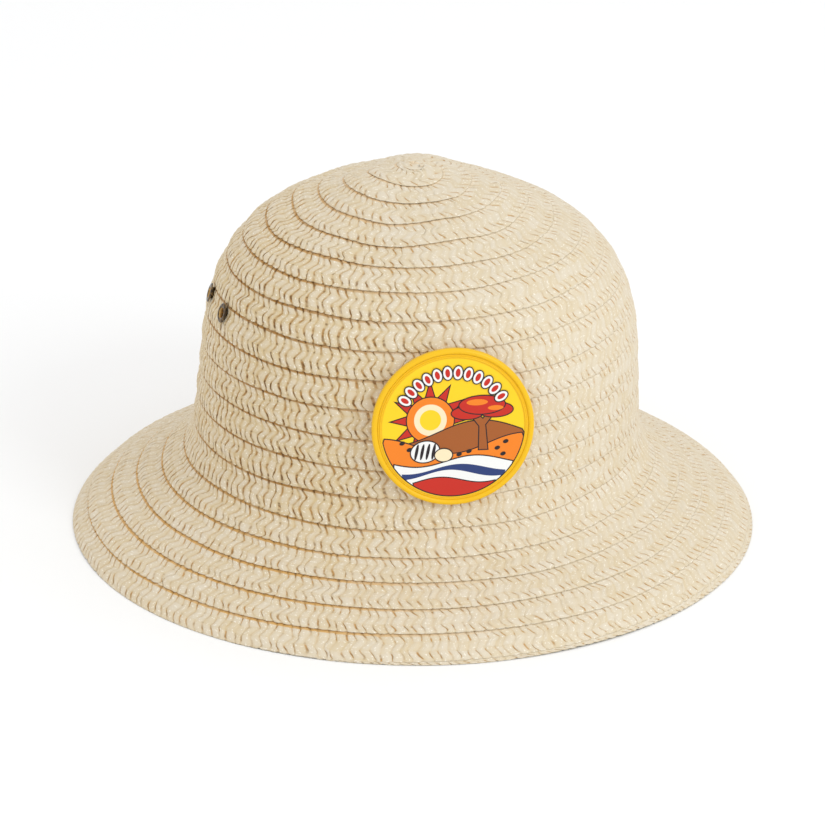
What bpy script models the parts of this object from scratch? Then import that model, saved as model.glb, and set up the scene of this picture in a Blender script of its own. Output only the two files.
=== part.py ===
"""A child's safari hat of paper-straw braid, sewn row over row into a domed crown and a sloping brim.

Four brass eyelets air the crown, two on each side, and a round badge is glued to its front.
Metres, +Z up. The brim's edge rests on the plane z = 0, and the hat's front faces -Y.
"""

import math

import bmesh
import bpy
from mathutils import Matrix, Vector

# Overall sizes
CROWN_WIDTH = 0.170  # outside, ear to ear, at the foot of the crown
CROWN_LENGTH = 0.184  # outside, forehead to nape, at the foot of the crown
HAT_HEIGHT = 0.143  # table to tip
CREASE_HEIGHT = 0.0295  # table to where the crown turns out into the brim
BRIM_REACH = 0.0475  # how far the brim stands out from the crown's foot, measured level
SHOULDER_LEAN = 0.003  # how far the soft shoulder leans to the wearer's left

# The braid
BRAID_THICKNESS = 0.0015
ROW_STEP = 0.0007  # how far a row's lower edge stands over the row below it
ROW_PITCH = 0.0112  # from one row's edge to the next
ROWS_IN_BRIM = 5
SEAM_LAP = 0.0025  # how far the brim's first row reaches up inside the crown's last one
CLEARANCE = 0.0003  # between pieces that touch
AROUND = 60  # flats round the hat
SHARP_ANGLE = math.radians(40.0)
MERGE_DISTANCE = 0.00001
PROBE_STEP = 0.002  # how far apart the wall's slope is felt, along its side view
PROBE_TURN = 0.002  # and round it, in radians

# The eyelets
EYELET_FLANGE = 0.0076  # outside diameter
EYELET_BORE = 0.0036
EYELET_METAL = 0.0005  # wall of the barrel
EYELET_FLANGE_HEIGHT = 0.0008
EYELET_HEIGHT = 0.095  # table to centre
EYELET_SPACING = 0.0208  # centre to centre of one pair
EYELET_LEFT_ANGLE = 110.0  # degrees from the front to the middle of the wearer's left pair
EYELET_RIGHT_ANGLE = 83.0  # and of the right pair: the badge is glued a little off the hat's own front
EYELET_FLATS = 16

# The badge
BADGE_DIAMETER = 0.060
BADGE_CENTRE_HEIGHT = 0.0735  # table to centre
BADGE_BACK = 0.0010  # thickness of the tray behind the printed face
BADGE_RIM_WIDTH = 0.0022
BADGE_RIM_HEIGHT = 0.0026  # back of the tray to the top of its rounded rim
FACE_THICKNESS = 0.0008
FACE_DOME = 0.0004  # how far the middle of the padded face stands over its edge
BADGE_FLATS = 40
RIM_FLATS = 6

# The crown's side view, from the tip down: distance out as a share of half CROWN_WIDTH,
# and height as a share of the drop from the tip to the crease.
CROWN_SECTIONS = (
    {"out": 0.00, "up": 1.000},
    {"out": 0.05, "up": 0.998},
    {"out": 0.17, "up": 0.980},
    {"out": 0.30, "up": 0.948},
    {"out": 0.42, "up": 0.914},
    {"out": 0.54, "up": 0.875},
    {"out": 0.66, "up": 0.828},
    {"out": 0.77, "up": 0.772},
    {"out": 0.86, "up": 0.695},
    {"out": 0.92, "up": 0.614},
    {"out": 0.96, "up": 0.520},
    {"out": 0.98, "up": 0.425},
    {"out": 0.99, "up": 0.325},
    {"out": 1.00, "up": 0.228},
    {"out": 1.01, "up": 0.128},
    {"out": 1.04, "up": 0.032},
)

# The brim's side view, from the crease out: distance out past half CROWN_WIDTH as a share of BRIM_REACH,
# and height as a share of CREASE_HEIGHT.
BRIM_SECTIONS = (
    {"out": 0.23, "up": 0.85},
    {"out": 0.42, "up": 0.65},
    {"out": 0.63, "up": 0.46},
    {"out": 0.83, "up": 0.27},
    {"out": 0.93, "up": 0.14},
    {"out": 1.00, "up": 0.00},
)

# Soft places pressed into the crown: direction in degrees from the front towards the wearer's left,
# height as a share of HAT_HEIGHT, depth, and the dent's spread across and up, in degrees and as a share.
CROWN_DENTS = (
    {"toward": -85.0, "height": 0.93, "depth": 0.0016, "spread": 34.0, "tall": 0.060},
    {"toward": -32.0, "height": 0.86, "depth": 0.0008, "spread": 18.0, "tall": 0.030},
    {"toward": 128.0, "height": 0.84, "depth": 0.0012, "spread": 30.0, "tall": 0.070},
    {"toward": 200.0, "height": 0.62, "depth": 0.0010, "spread": 26.0, "tall": 0.110},
)

COLOURS = {
    "straw": ((0.85, 0.74, 0.55, 1.0), 0.80, 0.0),
    "badge_yellow": ((0.94, 0.55, 0.02, 1.0), 0.35, 0.0),
    "badge_print": ((0.98, 0.66, 0.01, 1.0), 0.35, 0.0),
    "brass": ((0.36, 0.22, 0.09, 1.0), 0.35, 1.0),
}


def clear_scene():
    """Removes whatever the file opened with."""
    for old in list(bpy.data.objects):
        bpy.data.objects.remove(old, do_unlink=True)


def material(name):
    """A Principled material from the colour table."""
    colour, roughness, metallic = COLOURS[name]
    made = bpy.data.materials.new(name)
    made.use_nodes = True
    shader = made.node_tree.nodes["Principled BSDF"]
    shader.inputs["Base Color"].default_value = colour
    shader.inputs["Roughness"].default_value = roughness
    shader.inputs["Metallic"].default_value = metallic
    return made


def collection(name):
    """A collection linked to the scene."""
    made = bpy.data.collections.new(name)
    bpy.context.scene.collection.children.link(made)
    return made


def add_object(name, mesh, material_used, group):
    """Links a mesh to the scene as one named object."""
    made = bpy.data.objects.new(name, mesh)
    made.data.materials.clear()
    made.data.materials.append(material_used)
    group.objects.link(made)
    return made


def side_view():
    """The hat's side view as (distance out, height) points, from the tip to the brim's edge."""
    half_width = CROWN_WIDTH / 2
    drop = HAT_HEIGHT - CREASE_HEIGHT
    crown = [(s["out"] * half_width, CREASE_HEIGHT + s["up"] * drop) for s in CROWN_SECTIONS]
    brim = [(half_width + s["out"] * BRIM_REACH, s["up"] * CREASE_HEIGHT) for s in BRIM_SECTIONS]
    return [Vector(p) for p in crown + brim]


def smooth_line(points, steps=12):
    """A Catmull-Rom curve through the points, level where it leaves the tip."""
    before = Vector((-points[1].x, points[1].y))
    after = 2 * points[-1] - points[-2]
    ends = [before, *points, after]
    line = []
    for a, b, c, d in zip(ends, ends[1:], ends[2:], ends[3:]):
        for i in range(steps):
            t = i / steps
            bend = (2 * a - 5 * b + 4 * c - d) * t**2 + (3 * b - a - 3 * c + d) * t**3
            line.append(0.5 * (2 * b + (c - a) * t + bend))
    return [*line, points[-1]]


class SideView:
    """The smooth side view, read by the distance along it from the tip."""

    def __init__(self):
        self.line = smooth_line(side_view())
        self.along = [0.0]
        for a, b in zip(self.line, self.line[1:]):
            self.along.append(self.along[-1] + (b - a).length)
        self.length = self.along[-1]

    def span(self, distance):
        """The stretch of the line that holds this distance, and the share of the way along it."""
        distance = min(max(distance, 0.0), self.length)
        for i, end in enumerate(self.along[1:]):
            if distance <= end:
                start = self.along[i]
                return i, (distance - start) / (end - start)
        return len(self.line) - 2, 1.0

    def point(self, distance, lift=0.0):
        """The point at this distance, moved out of the surface by lift."""
        i, share = self.span(distance)
        a, b = self.line[i], self.line[i + 1]
        slope = (b - a).normalized()
        outward = Vector((-slope.y, slope.x))
        return a.lerp(b, share) + outward * lift

    def distance_at_height(self, height):
        """The distance along the crown at which the line comes down to this height."""
        for i, (a, b) in enumerate(zip(self.line, self.line[1:])):
            if b.y <= height < a.y:
                share = (a.y - height) / (a.y - b.y)
                return self.along[i] + share * (self.along[i + 1] - self.along[i])
        return self.length


def swell(value):
    """A smooth rise from 0 to 1."""
    value = min(max(value, 0.0), 1.0)
    return value * value * (3 - 2 * value)


def dent_depth(angle, height):
    """How far the soft places press the crown in here. The angle is in radians, from +X."""
    depth = 0.0
    for dent in CROWN_DENTS:
        centre = math.radians(dent["toward"]) - math.pi / 2
        turn = math.remainder(angle - centre, 2 * math.pi) / math.radians(dent["spread"])
        rise = (height / HAT_HEIGHT - dent["height"]) / dent["tall"]
        depth += dent["depth"] * math.exp(-turn * turn - rise * rise)
    return depth


def block(point):
    """Moves a point of the round hat to where the oval block, the lean and the dents put it."""
    radius = math.hypot(point.x, point.y)
    if radius < 1e-9:
        cosine, sine, angle = 0.0, 0.0, 0.0
    else:
        cosine, sine = point.x / radius, point.y / radius
        angle = math.atan2(sine, cosine)
    stretch = (CROWN_LENGTH - CROWN_WIDTH) / 2 * min(1.0, radius / (CROWN_WIDTH / 2))
    pressed = dent_depth(angle, point.z) * swell(radius / (0.3 * CROWN_WIDTH))
    rise = min(max(point.z / HAT_HEIGHT, 0.0), 1.0)
    lean = SHOULDER_LEAN * math.sin(math.pi * rise**1.5)
    return Vector(
        (
            (radius - pressed) * cosine + lean,
            (radius + stretch - pressed) * sine,
            point.z,
        )
    )


def profile_mesh(name, outline, closed):
    """An outline of (distance out, height) points as a chain of edges, closed into a ring or not."""
    shape = bmesh.new()
    corners = [shape.verts.new((p[0], 0.0, p[1])) for p in outline]
    for pair in zip(corners, corners[1:]):
        shape.edges.new(pair)
    if closed:
        shape.edges.new((corners[-1], corners[0]))
    mesh = bpy.data.meshes.new(name)
    shape.to_mesh(mesh)
    shape.free()
    return mesh


def turned(name, outline, flats, material_used, group, closed=True):
    """A solid turned round +Z. The outline runs down its outer side.

    It ends on the axis unless it is closed.
    """
    made = add_object(name, profile_mesh(name, outline, closed), material_used, group)
    screw = made.modifiers.new("turn", "SCREW")
    screw.axis = "Z"
    screw.angle = 2 * math.pi
    screw.steps = flats
    screw.render_steps = flats
    screw.use_merge_vertices = True
    screw.merge_threshold = MERGE_DISTANCE
    return made


def made_plain(thing):
    """Replaces an object's mesh by its evaluated one and clears its modifiers."""
    depsgraph = bpy.context.evaluated_depsgraph_get()
    mesh = bpy.data.meshes.new_from_object(thing.evaluated_get(depsgraph))
    thing.modifiers.clear()
    thing.data = mesh
    return mesh


def row_edges(view):
    """How far along the side view each row of the crown ends, from the tip down to the brim's seam."""
    seam = view.length - ROWS_IN_BRIM * ROW_PITCH
    rows = int(seam / ROW_PITCH)
    return [seam - row * ROW_PITCH for row in reversed(range(rows))]


def row_outline(view, tops, bottoms):
    """The outer and inner outlines of a run of lapped rows, from the top down.

    Each row starts tucked under the one above and ends standing over the one below.
    """
    outer = []
    inner = []
    for top, bottom in zip(tops, bottoms):
        outer.append(view.point(top, -ROW_STEP / 2))
        outer.append(view.point(bottom, ROW_STEP / 2))
        inner.append(view.point((top + bottom) / 2, -BRAID_THICKNESS))
    return outer, inner


def on_block(thing):
    """Shapes a turned solid on the oval block and shades it smooth between its row edges."""
    mesh = made_plain(thing)
    for vertex in mesh.vertices:
        vertex.co = block(vertex.co)
    mesh.shade_smooth()
    mesh.set_sharp_from_angle(angle=SHARP_ANGLE)
    return thing


def make_crown(view, straw, group):
    """The domed crown: rows of braid from the tip to the seam with the brim."""
    bottoms = row_edges(view)
    outer, inner = row_outline(view, [0.0, *bottoms], bottoms)
    outer[0] = view.point(0.0)
    inner.append(view.point(bottoms[-1], ROW_STEP / 2 - BRAID_THICKNESS))
    tip_inside = view.point(0.0) - Vector((0.0, BRAID_THICKNESS))
    outline = [*outer, *reversed(inner), tip_inside]
    return on_block(turned("crown", outline, AROUND, straw, group, closed=False))


def make_brim(view, straw, group):
    """The sloping brim. Its first row is sewn inside the crown's last one, and its edge is its foot."""
    seam = row_edges(view)[-1]
    tops = [seam + row * ROW_PITCH for row in range(ROWS_IN_BRIM)]
    bottoms = [top + ROW_PITCH for top in tops]
    outer, inner = row_outline(view, tops, bottoms)
    tongue = ROW_STEP / 2 - BRAID_THICKNESS - CLEARANCE
    outer[0] = view.point(seam + CLEARANCE, -ROW_STEP / 2)
    outer.insert(0, view.point(seam + CLEARANCE, tongue))
    outer.insert(0, view.point(seam - SEAM_LAP, tongue))
    inner.insert(0, view.point(seam - SEAM_LAP, tongue - BRAID_THICKNESS))
    # The edge is pressed level, so that it rests on the table all round.
    edge = view.point(view.length)
    outer[-1] = Vector((edge.x, 0.0))
    inner.append(Vector((edge.x - BRAID_THICKNESS, 0.0)))
    return on_block(turned("brim", [*outer, *reversed(inner)], AROUND, straw, group))


def wall_frame(view, height, angle):
    """The place on the crown's outer wall at this height and direction, with +Z out of the wall."""
    distance = view.distance_at_height(height)

    def at(along, turn):
        side = view.point(along)
        return block(Vector((side.x * math.cos(turn), side.x * math.sin(turn), side.y)))

    here = at(distance, angle)
    down = at(distance + PROBE_STEP, angle) - at(distance - PROBE_STEP, angle)
    across = at(distance, angle + PROBE_TURN) - at(distance, angle - PROBE_TURN)
    outward = down.cross(across).normalized()
    if outward.dot(Vector((here.x, here.y, 0.0))) < 0:
        outward.negate()
    level = Vector((0, 0, 1)).cross(outward).normalized()
    upward = outward.cross(level)
    turn = Matrix((level, upward, outward)).transposed().to_4x4()
    return Matrix.Translation(here) @ turn


def eyelet_frames(view):
    """Each eyelet's name and the place of its centre on the crown's outer wall."""
    radius = view.point(view.distance_at_height(EYELET_HEIGHT)).x
    half_angle = EYELET_SPACING / 2 / radius
    frames = {}
    for side, pair_angle, sign in (("left", EYELET_LEFT_ANGLE, 1), ("right", EYELET_RIGHT_ANGLE, -1)):
        for place, step in (("front", -half_angle), ("rear", half_angle)):
            from_front = math.radians(pair_angle) + step
            angle = -math.pi / 2 + sign * from_front
            frames[f"eyelet_{side}_{place}"] = wall_frame(view, EYELET_HEIGHT, angle)
    return frames


def make_eyelet(name, frame, brass, group):
    """One brass eyelet: a barrel through the wall with a rounded flange on each side of it."""
    bore = EYELET_BORE / 2
    barrel = bore + EYELET_METAL
    flange = EYELET_FLANGE / 2
    over = ROW_STEP / 2 + CLEARANCE
    under = -(BRAID_THICKNESS + ROW_STEP / 2 + CLEARANCE)
    crest = over + EYELET_FLANGE_HEIGHT
    hem = under - EYELET_FLANGE_HEIGHT
    middle = (bore + flange) / 2
    outline = [
        (bore, hem + EYELET_METAL),
        (bore, crest - EYELET_METAL),
        (bore + EYELET_METAL, crest - EYELET_METAL / 4),
        (middle, crest),
        (flange - EYELET_METAL / 2, crest - EYELET_METAL),
        (flange, over),
        (barrel, over),
        (barrel, under),
        (flange - EYELET_METAL, under),
        (middle, hem),
        (bore + EYELET_METAL / 2, hem + EYELET_METAL / 4),
    ]
    eyelet = turned(name, outline, EYELET_FLATS, brass, group)
    eyelet.matrix_world = frame
    return eyelet


def wall_cutter(name, frame, group):
    """A round cutter that opens the crown's wall for one eyelet."""
    shape = bmesh.new()
    bmesh.ops.create_cone(
        shape,
        cap_ends=True,
        segments=EYELET_FLATS,
        radius1=EYELET_BORE / 2 + EYELET_METAL + CLEARANCE,
        radius2=EYELET_BORE / 2 + EYELET_METAL + CLEARANCE,
        depth=8 * BRAID_THICKNESS,
    )
    mesh = bpy.data.meshes.new(name)
    shape.to_mesh(mesh)
    shape.free()
    cutter = bpy.data.objects.new(name, mesh)
    cutter.matrix_world = frame
    cutter.hide_render = True
    cutter.display_type = "WIRE"
    group.objects.link(cutter)
    return cutter


def badge_frame(view):
    """The badge's place: flat against the proudest row of the crown's front, with the clearance."""
    frame = wall_frame(view, BADGE_CENTRE_HEIGHT, -math.pi / 2)
    return frame @ Matrix.Translation((0, 0, ROW_STEP / 2 + CLEARANCE))


def make_badge_tray(frame, colour, group):
    """The coloured tray, turned from its flat back: a disc with a rounded rim."""
    radius = BADGE_DIAMETER / 2
    inside = radius - BADGE_RIM_WIDTH
    half = BADGE_RIM_WIDTH / 2
    round_centre = BADGE_RIM_HEIGHT - half
    rim = []
    for step in range(RIM_FLATS + 1):
        turn = math.pi * step / RIM_FLATS
        rim.append((inside + half - half * math.cos(turn), round_centre + half * math.sin(turn)))
    back_round = BADGE_BACK / 3
    back = [(radius, back_round), (radius - back_round, 0.0), (0.0, 0.0)]
    outline = [(0.0, BADGE_BACK), (inside, BADGE_BACK), *rim, *back]
    tray = turned("badge_tray", outline, BADGE_FLATS, colour, group, closed=False)
    tray.matrix_world = frame
    return tray


def make_badge_face(frame, colour, group):
    """The printed disc that lies in the tray, gently padded."""
    radius = BADGE_DIAMETER / 2 - BADGE_RIM_WIDTH - CLEARANCE
    foot = BADGE_BACK + CLEARANCE
    top = foot + FACE_THICKNESS
    outline = [(0.0, top + FACE_DOME)]
    for share in (0.35, 0.65, 0.88):
        outline.append((radius * share, top + FACE_DOME * (1 - share * share)))
    outline += [(radius, top - FACE_DOME / 2), (radius, foot), (0.0, foot)]
    face = turned("badge_face", outline, BADGE_FLATS, colour, group, closed=False)
    face.matrix_world = frame
    return face


def main():
    clear_scene()
    hat = collection("safari_hat")
    cutters = collection("cutters")
    straw = material("straw")
    brass = material("brass")
    view = SideView()
    crown = make_crown(view, straw, hat)
    make_brim(view, straw, hat)
    for name, frame in eyelet_frames(view).items():
        make_eyelet(name, frame, brass, hat)
        opening = crown.modifiers.new(f"hole for {name}", "BOOLEAN")
        opening.operation = "DIFFERENCE"
        opening.object = wall_cutter(f"{name}_hole", frame, cutters)
    badge = badge_frame(view)
    make_badge_tray(badge, material("badge_yellow"), hat)
    make_badge_face(badge, material("badge_print"), hat)


main()
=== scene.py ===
# %% [markdown]
# # A safari hat of sewn paper-straw braid
#
# The hat is one long flat plait, sewn row over row in a spiral from the tip of the crown to the edge of
# the brim. This lesson makes that plait as real geometry, then the brass eyelets and the round badge, and
# lights them softly on a pale floor. Lengths are in metres, +Z is up and the hat's front looks along -Y.

import math

import bmesh
import bpy
import numpy as np
from mathutils import Matrix, Vector


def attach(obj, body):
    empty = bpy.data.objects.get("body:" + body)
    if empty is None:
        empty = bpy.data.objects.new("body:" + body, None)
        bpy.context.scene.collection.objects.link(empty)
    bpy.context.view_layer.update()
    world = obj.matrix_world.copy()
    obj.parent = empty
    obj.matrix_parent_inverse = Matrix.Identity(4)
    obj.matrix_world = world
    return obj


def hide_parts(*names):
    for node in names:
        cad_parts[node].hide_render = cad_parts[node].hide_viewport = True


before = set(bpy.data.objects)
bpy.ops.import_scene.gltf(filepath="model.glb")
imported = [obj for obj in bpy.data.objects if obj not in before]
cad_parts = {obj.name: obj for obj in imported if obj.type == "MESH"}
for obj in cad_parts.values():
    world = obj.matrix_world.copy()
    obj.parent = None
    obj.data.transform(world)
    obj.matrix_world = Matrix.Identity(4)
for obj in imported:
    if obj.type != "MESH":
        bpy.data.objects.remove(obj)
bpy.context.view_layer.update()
print("frame nodes:", sorted(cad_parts))

# %% [markdown]
# ## Two helpers for node trees
#
# Geometry and shader trees are mostly sums. Written one node at a time they hide the idea, so `Value` wraps
# a socket and lets Python's own operators add the Math nodes. Every other node comes from `Tree.node`.


# %% Node helpers
class Value:
    """A number travelling through a node tree."""

    def __init__(self, tree, socket):
        self.tree = tree
        self.socket = socket

    def math(self, operation, *others, clamp=False):
        inputs = dict(enumerate((self, *others)))
        return self.tree.node("ShaderNodeMath", {"operation": operation, "use_clamp": clamp}, inputs)

    def __add__(self, other):
        return self.math("ADD", other)

    def __sub__(self, other):
        return self.math("SUBTRACT", other)

    def __mul__(self, other):
        return self.math("MULTIPLY", other)

    def __truediv__(self, other):
        return self.math("DIVIDE", other)

    def __pow__(self, other):
        return self.math("POWER", other)

    __radd__ = __add__
    __rmul__ = __mul__

    def __rsub__(self, other):
        return self * -1.0 + other

    def __abs__(self):
        return self.math("ABSOLUTE")

    def sin(self):
        return self.math("SINE")

    def cos(self):
        return self.math("COSINE")

    def floor(self):
        return self.math("FLOOR")

    def fract(self):
        return self.math("FRACT")

    def sqrt(self):
        return self.math("SQRT")

    def at_least(self, other):
        return self.math("MAXIMUM", other)

    def at_most(self, other):
        return self.math("MINIMUM", other)

    def clamped(self):
        return self.math("ADD", 0.0, clamp=True)

    def over(self, other):
        return self.math("GREATER_THAN", other)

    def wave(self, spread):
        """A triangle wave between 0 and spread, twice spread long."""
        return self.math("PINGPONG", spread)

    def rise(self, start, end):
        """A smooth step from 0 at start to 1 at end."""
        ends = {"Value": self, "From Min": start, "From Max": end, "To Min": 0.0, "To Max": 1.0}
        return self.tree.node("ShaderNodeMapRange", {"interpolation_type": "SMOOTHSTEP"}, ends, "Result")


class Tree:
    """A node tree that is filled by one method."""

    def __init__(self, nodes):
        self.nodes = nodes.nodes
        self.links = nodes.links

    def node(self, kind, settings=None, inputs=None, output=0):
        """Adds a node: its settings first, then its inputs by name or number. Gives one output."""
        made = self.nodes.new(kind)
        for name, setting in (settings or {}).items():
            setattr(made, name, setting)
        usable = [s for s in made.inputs if s.enabled]
        for name, given in (inputs or {}).items():
            socket = usable[name] if isinstance(name, int) else next(s for s in usable if s.name == name)
            if isinstance(given, Value):
                self.links.new(given.socket, socket)
            elif given is not None:
                socket.default_value = given
        if output is None:
            return made
        out = [s for s in made.outputs if s.enabled]
        wanted = out[output] if isinstance(output, int) else next(s for s in out if s.name == output)
        return Value(self, wanted)

    def noise(self, x, y, seed, detail=1.0):
        """Soft noise over two directions; the seed picks another part of the same noise."""
        inputs = {"Vector": self.vector(x, y, seed), "Scale": 1.0, "Detail": detail}
        return self.node("ShaderNodeTexNoise", None, inputs, 0)

    def line_noise(self, place, detail=1.0):
        """Soft noise along one direction."""
        inputs = {"W": place, "Scale": 1.0, "Detail": detail}
        return self.node("ShaderNodeTexNoise", {"noise_dimensions": "1D"}, inputs, 0)

    def vector(self, x=0.0, y=0.0, z=0.0):
        return self.node("ShaderNodeCombineXYZ", None, {0: x, 1: y, 2: z})

    def split(self, vector):
        made = self.node("ShaderNodeSeparateXYZ", None, {0: vector}, None)
        return [Value(self, socket) for socket in made.outputs]


print("node helpers ready")

# %% [markdown]
# ## The hat's side view
#
# A blocked hat is a turned shape pressed on an oval wooden block. Its side view is a curve from the tip to
# the brim's edge. The two tables give it as shares of the hat's main sizes, as a pattern maker would.

# %% Sizes and side view
HAT_HEIGHT = 0.143
CROWN_WIDTH = 0.170
CROWN_LENGTH = 0.184
CREASE_HEIGHT = 0.0295
BRIM_REACH = 0.0475
SHOULDER_LEAN = 0.003

CROWN_SECTIONS = (
    {"out": 0.00, "up": 1.000},
    {"out": 0.05, "up": 0.998},
    {"out": 0.17, "up": 0.980},
    {"out": 0.30, "up": 0.948},
    {"out": 0.42, "up": 0.914},
    {"out": 0.54, "up": 0.875},
    {"out": 0.66, "up": 0.828},
    {"out": 0.77, "up": 0.772},
    {"out": 0.86, "up": 0.695},
    {"out": 0.92, "up": 0.614},
    {"out": 0.96, "up": 0.520},
    {"out": 0.98, "up": 0.425},
    {"out": 0.99, "up": 0.325},
    {"out": 1.00, "up": 0.228},
    {"out": 1.01, "up": 0.128},
    {"out": 1.04, "up": 0.032},
)
BRIM_SECTIONS = (
    {"out": 0.23, "up": 0.85},
    {"out": 0.42, "up": 0.65},
    {"out": 0.63, "up": 0.46},
    {"out": 0.83, "up": 0.27},
    {"out": 0.93, "up": 0.14},
    {"out": 1.00, "up": 0.00},
)
CROWN_DENTS = (
    {"toward": -85.0, "height": 0.93, "depth": 0.0016, "spread": 34.0, "tall": 0.060},
    {"toward": -32.0, "height": 0.86, "depth": 0.0008, "spread": 18.0, "tall": 0.030},
    {"toward": 128.0, "height": 0.84, "depth": 0.0012, "spread": 30.0, "tall": 0.070},
    {"toward": 200.0, "height": 0.62, "depth": 0.0010, "spread": 26.0, "tall": 0.110},
)
TIP_RIPPLE = {"height": 0.0014, "reach": 0.052, "waves_x": 118.0, "waves_y": 96.0}
DENTS_FADE_IN = 0.3
LINE_STEPS = 12


def side_view_line():
    """The side view as a smooth Catmull-Rom line of (out, up) points, from the tip to the brim's edge."""
    half = CROWN_WIDTH / 2
    drop = HAT_HEIGHT - CREASE_HEIGHT
    crown = [(s["out"] * half, CREASE_HEIGHT + s["up"] * drop) for s in CROWN_SECTIONS]
    brim = [(half + s["out"] * BRIM_REACH, s["up"] * CREASE_HEIGHT) for s in BRIM_SECTIONS]
    points = [Vector(p) for p in crown + brim]
    ends = [Vector((-points[1].x, points[1].y)), *points, 2 * points[-1] - points[-2]]
    line = []
    for a, b, c, d in zip(ends, ends[1:], ends[2:], ends[3:]):
        for i in range(LINE_STEPS):
            t = i / LINE_STEPS
            bend = (2 * a - 5 * b + 4 * c - d) * t**2 + (3 * b - a - 3 * c + d) * t**3
            line.append(0.5 * (2 * b + (c - a) * t + bend))
    return [*line, points[-1]]


SIDE_VIEW = side_view_line()
SIDE_LENGTH = sum((b - a).length for a, b in zip(SIDE_VIEW, SIDE_VIEW[1:]))
print(f"side view: {len(SIDE_VIEW)} points, {SIDE_LENGTH * 1000:.1f} mm from tip to edge")

# %% [markdown]
# ## The oval block
#
# The plait is coiled as if the hat were round. Then every point is moved to where the oval block, the
# soft lean of the shoulder, the small dents and the ripple round the gathered tip put it. Doing this
# last, on the finished mesh, keeps the coil simple.


# %% The oval block
def smooth_step(value):
    value = np.clip(value, 0.0, 1.0)
    return value * value * (3 - 2 * value)


def dent_depth(angle, height):
    """How far the soft places press the crown in, for arrays of angles and heights."""
    depth = np.zeros_like(height)
    for dent in CROWN_DENTS:
        centre = math.radians(dent["toward"]) - math.pi / 2
        away = (angle - centre + math.pi) % (2 * math.pi) - math.pi
        turn = away / math.radians(dent["spread"])
        rise = (height / HAT_HEIGHT - dent["height"]) / dent["tall"]
        depth += dent["depth"] * np.exp(-turn * turn - rise * rise)
    return depth


def on_block(points):
    """Moves an array of points of the round hat to the oval, leaning, dented one."""
    x, y, z = points.T
    radius = np.maximum(np.hypot(x, y), 1e-9)
    angle = np.arctan2(y, x)
    stretch = (CROWN_LENGTH - CROWN_WIDTH) / 2 * np.minimum(1.0, radius / (CROWN_WIDTH / 2))
    pressed = dent_depth(angle, z) * smooth_step(radius / (DENTS_FADE_IN * CROWN_WIDTH))
    rise = np.clip(z / HAT_HEIGHT, 0.0, 1.0)
    lean = SHOULDER_LEAN * np.sin(math.pi * rise**1.5)
    gathered = np.exp(-((radius / TIP_RIPPLE["reach"]) ** 4)) * (z > CREASE_HEIGHT)
    waves = np.sin(TIP_RIPPLE["waves_x"] * x + 0.9) * np.sin(TIP_RIPPLE["waves_y"] * y - 0.7)
    ripple = TIP_RIPPLE["height"] * gathered * waves
    return np.stack(
        (
            (radius - pressed) * x / radius + lean,
            (radius + stretch - pressed) * y / radius,
            np.maximum(z + ripple, 0.0),
        ),
        axis=1,
    )


print("block at the brow:", on_block(np.array([[0.0, -0.085, 0.05]])).round(4))

# %% [markdown]
# ## The coiled braid
#
# Each row is the same flat plait. Seen close, its strands slant one way, back, and the first way again,
# so the grooves between them make zigzags, and its lower edge rolls over the row below. A bump map alone
# would look ironed flat at the outline. So a Geometry Nodes tree bends a long closed tube of points into
# the plait: one ring of points for each quarter of a strand, sheared along the zigzag so that mesh edges
# follow the grooves. What is uneven comes from noise with fixed seeds, so every run makes the same hat.
#
# Lean, pivot and sink are shares of the plait's thickness or width. They tip each row, so that its lower
# edge lies on the next row and its upper one is tucked under the row before.

# %% Sizes of the braid
ROW_PITCH = 0.0112
ROW_LAP = 0.0024
STRAND_PITCH = 0.0035
BRAID_THICKNESS = 0.0008
RELIEF = 0.00055
LEAN = 1.25
LEAN_PIVOT = 0.78
SINK = 0.42
TIP_REACH = 0.012
TIP_RISE = 0.0011
TIP_END_RISE = 0.0004
TIP_ROW_WIDTH = 0.0055
ZIGZAGS = 3.7
SWAY = 0.0016
SCALLOP = 0.0004
RINGS_PER_STRAND = 4
POINTS_ROUND = 26
OUTER_SHARE = 0.66
BRAID_END_ANGLE = -113.5
TURNS = SIDE_LENGTH / ROW_PITCH
START_ANGLE = math.radians(BRAID_END_ANGLE) + 2 * math.pi * TURNS
PATH_POINTS = 4096


def braid_length(first_turn, last_turn, steps=3000):
    """The length of the coil's middle line between two turns, on the round hat."""
    along = np.cumsum([0.0] + [(b - a).length for a, b in zip(SIDE_VIEW, SIDE_VIEW[1:])])
    out = np.array([p.x for p in SIDE_VIEW])
    turns = np.linspace(first_turn, last_turn, steps)
    middle = np.minimum(np.maximum(turns - 0.5, turns * 0.5), TURNS) * ROW_PITCH
    radius = np.interp(middle, along, out)
    return float(np.sum(radius[:-1]) * 2 * math.pi * (turns[1] - turns[0]))


def plait_pattern(tree, strand, across):
    """Where a strand is in its zigzag, how uneven it is, and where the groove beside it is pressed shut.

    Both the shape and the finish ask this, so that colour and relief agree.
    """
    bend = across * ZIGZAGS + tree.line_noise(strand * 0.37) * 0.9
    uneven = tree.line_noise(strand * 0.83 + 71.0, 0.0)
    shut = tree.noise(strand * 0.6, across * 3.4, 31.0).rise(0.44, 0.58)
    return bend, uneven, shut


STRANDS = round(braid_length(0.0, TURNS + 1) / STRAND_PITCH)
print(f"{TURNS:.2f} turns, {STRANDS} strands, {braid_length(0, TURNS + 1):.2f} m of braid")

# %% [markdown]
# ## The coil's path
#
# The tree draws the coil's middle line first, keeps the turn at each of its points, and then samples it by
# length. So the strands keep one width all the way, though a turn at the brim's edge is many times longer
# than one at the tip.


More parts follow.
